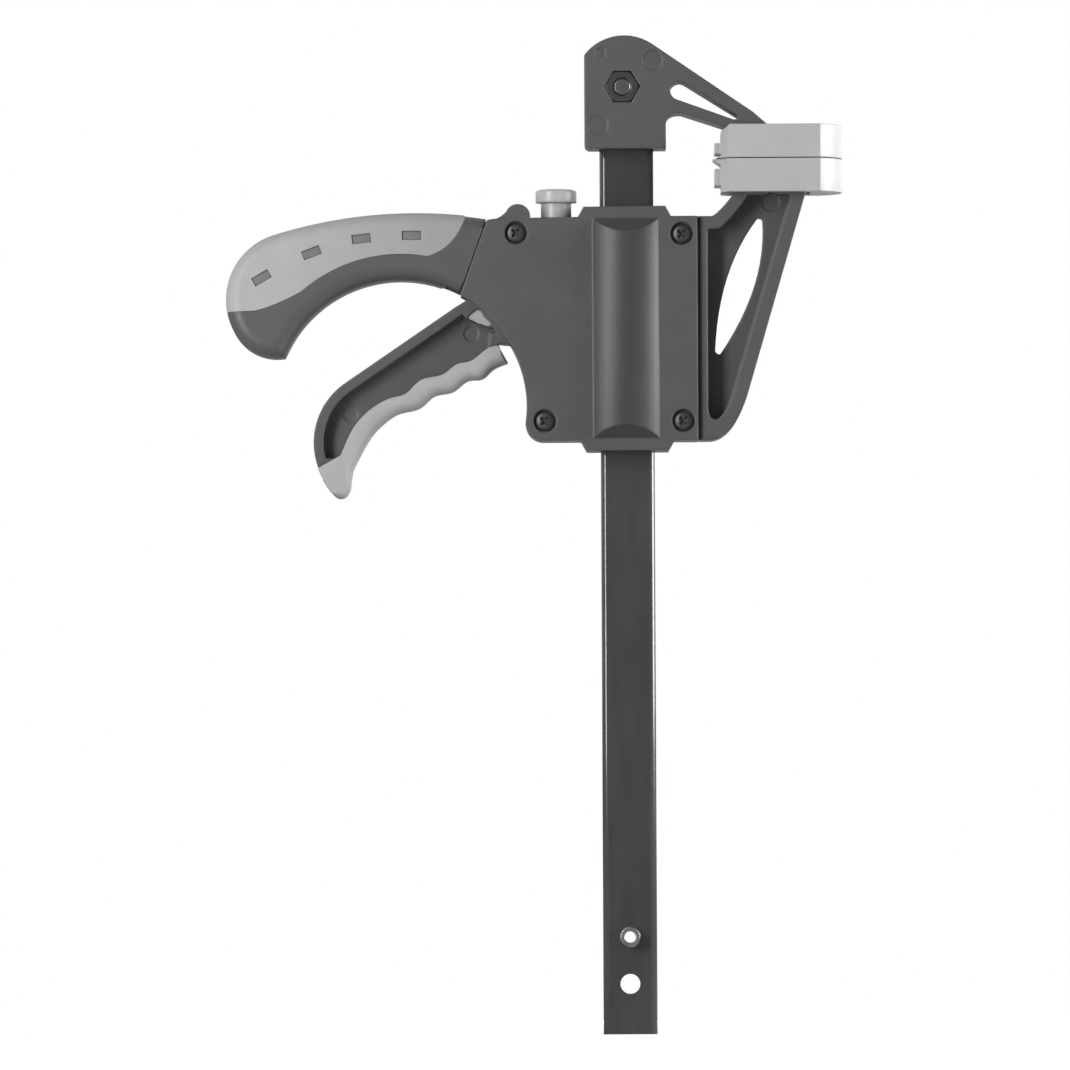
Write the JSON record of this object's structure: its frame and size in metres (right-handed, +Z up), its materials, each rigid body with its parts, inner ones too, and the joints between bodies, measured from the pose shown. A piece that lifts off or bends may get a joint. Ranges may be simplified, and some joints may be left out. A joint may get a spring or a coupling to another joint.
{
  "type": "quick release bar clamp",
  "caption": "One-handed bar clamp: a steel bar with a bolted fixed jaw, and a sliding body with handle, trigger, release button and movable jaw.",
  "frame": {"origin": "centre of the bar's lower end face", "axes": "+Z up along the bar to the fixed jaw, +X from the handle to the jaws, +Y to the rear, across the bar's thickness"},
  "size_m": [0.2056, 0.0312, 0.3326],
  "materials": {
    "bar_steel": "satin black oxide",
    "plated_steel": "zinc plated",
    "screw_steel": "black oxide",
    "lever_steel": "hardened, plain",
    "spring_steel": "spring wire",
    "dark_plastic": "fine moulded grain",
    "soft_grip": "soft, matte",
    "pad_plastic": "soft, smooth",
    "button_plastic": "smooth, slightly translucent"
  },
  "bodies": {
    "bar_and_fixed_jaw": {"bar": "bar_steel", "stop_pin": "plated_steel", "fixed_jaw": "dark_plastic", "fixed_jaw_pad": "pad_plastic", "jaw_bolt": "plated_steel", "jaw_nut": "plated_steel"},
    "clamp_body": {"body_frame": "dark_plastic", "front_cover": "dark_plastic", "rear_cover": "dark_plastic", "cover_screws": "screw_steel", "handle_soft_grip": "soft_grip", "movable_jaw_pad": "pad_plastic", "trigger_pivot_pin": "plated_steel", "drive_spring": "spring_steel", "brake_spring": "spring_steel"},
    "trigger": {"trigger": "dark_plastic", "trigger_soft_grip": "soft_grip", "trigger_buffer": "soft_grip"},
    "drive_lever": {"drive_lever": "lever_steel"},
    "brake_lever": {"brake_lever": "lever_steel"},
    "release_button": {"release_button": "button_plastic"}
  },
  "joints": [
    {"name": "jaw_slide", "type": "slide", "parent": "bar_and_fixed_jaw", "child": "clamp_body", "axis": [0, 0, -1], "range_m": [0, 0.1582]},
    {"name": "trigger_pull", "type": "hinge", "parent": "clamp_body", "child": "trigger", "pos_m": [-0.038, 0, 0.2476], "axis": [0, 1, 0], "range_deg": [0, 16], "stiffness_Nm_per_rad": 0.4, "springref_deg": -8.59},
    {"name": "drive_lever_push", "type": "slide", "parent": "clamp_body", "child": "drive_lever", "axis": [0, 0, -1], "range_m": [0, 0.0064], "deforming": ["drive_spring"]},
    {"name": "release_press", "type": "slide", "parent": "clamp_body", "child": "release_button", "axis": [0, 0, -1], "range_m": [0, 0.003], "stiffness_N_per_m": 500, "springref_m": -0.002},
    {"name": "brake_lever_tilt", "type": "hinge", "parent": "clamp_body", "child": "brake_lever", "pos_m": [0.012, 0, 0.2614], "axis": [0, 1, 0], "range_deg": [-4.85, 0], "deforming": ["brake_spring"]}
  ],
  "couplings": [
    {"joint": "drive_lever_push", "follows": "trigger_pull", "m_per_rad": 0.0226},
    {"joint": "brake_lever_tilt", "follows": "release_press", "rad_per_m": -27.95}
  ]
}
